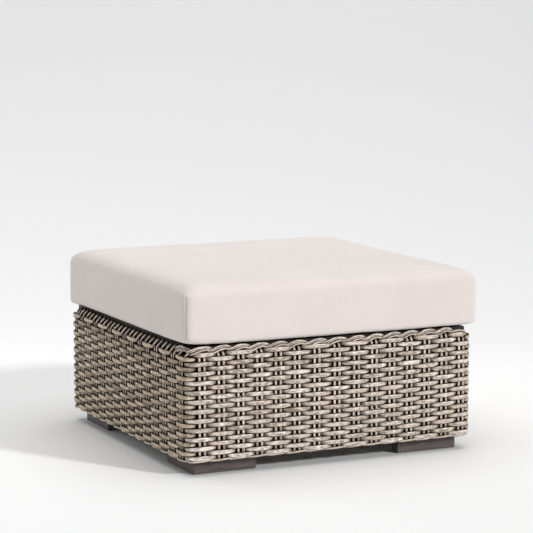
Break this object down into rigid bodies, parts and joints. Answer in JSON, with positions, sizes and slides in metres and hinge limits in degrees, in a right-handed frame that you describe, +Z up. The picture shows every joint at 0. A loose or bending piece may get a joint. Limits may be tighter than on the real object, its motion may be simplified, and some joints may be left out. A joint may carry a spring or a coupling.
{
  "type": "outdoor ottoman footstool",
  "caption": "Square outdoor ottoman: woven resin wicker sides over a tube frame, low corner feet and a loose box cushion that lifts off.",
  "frame": {"origin": "on the floor, under the middle of the footstool", "axes": "+Z up; -Y is the front side, which the picture shows on the right; -X is the left side; +Y is the back, where the cushion's zip is"},
  "size_m": [0.7432, 0.7432, 0.432],
  "materials": {
    "wicker": "satin",
    "frame_tube": "satin",
    "deck_strap": "matte",
    "foot": "satin",
    "screw": "satin",
    "cushion_fabric": "matte",
    "cushion_foam": "matte",
    "zip_tape": "matte",
    "zip_coil": "satin",
    "zip_metal": "satin"
  },
  "bodies": {
    "root": {"wicker_front": "wicker", "wicker_back": "wicker", "wicker_left": "wicker", "wicker_right": "wicker", "top_border_front": "wicker", "top_border_back": "wicker", "top_border_left": "wicker", "top_border_right": "wicker", "bottom_edging_front": "wicker", "bottom_edging_back": "wicker", "bottom_edging_left": "wicker", "bottom_edging_right": "wicker", "top_rail_front": "frame_tube", "top_rail_back": "frame_tube", "top_rail_left": "frame_tube", "top_rail_right": "frame_tube", "bottom_rail_front": "frame_tube", "bottom_rail_back": "frame_tube", "bottom_rail_left": "frame_tube", "bottom_rail_right": "frame_tube", "corner_post_front_left": "frame_tube", "corner_post_front_right": "frame_tube", "corner_post_back_left": "frame_tube", "corner_post_back_right": "frame_tube", "deck_bar_front": "frame_tube", "deck_bar_back": "frame_tube", "deck_strap_across_1": "deck_strap", "deck_strap_across_2": "deck_strap", "deck_strap_across_3": "deck_strap", "deck_strap_across_4": "deck_strap", "deck_strap_across_5": "deck_strap", "deck_strap_along_1": "deck_strap", "deck_strap_along_2": "deck_strap", "deck_strap_along_3": "deck_strap", "deck_strap_along_4": "deck_strap", "deck_strap_along_5": "deck_strap", "foot_front_left": "foot", "foot_front_right": "foot", "foot_back_left": "foot", "foot_back_right": "foot", "foot_screw_front_left_1": "screw", "foot_screw_front_left_2": "screw", "foot_screw_front_right_1": "screw", "foot_screw_front_right_2": "screw", "foot_screw_back_left_1": "screw", "foot_screw_back_left_2": "screw", "foot_screw_back_right_1": "screw", "foot_screw_back_right_2": "screw"},
    "cushion": {"cushion_cover": "cushion_fabric", "cushion_core": "cushion_foam", "zip_tape": "zip_tape", "zip_coil": "zip_coil"},
    "slider": {"zip_slider": "zip_metal"},
    "pull": {"zip_pull": "zip_metal"}
  },
  "joints": [
    {"name": "cushion_lift", "type": "slide", "parent": "root", "child": "cushion", "axis": [0, 0, 1], "range_m": [0, 0.2]},
    {"name": "zip_slide", "type": "slide", "parent": "cushion", "child": "slider", "axis": [-1, 0, 0], "range_m": [0, 0.462]},
    {"name": "zip_pull_turn", "type": "hinge", "parent": "slider", "child": "pull", "pos_m": [0.231, 0.3689, 0.3617], "axis": [0, 0, 1], "range_deg": [0, 180]}
  ]
}
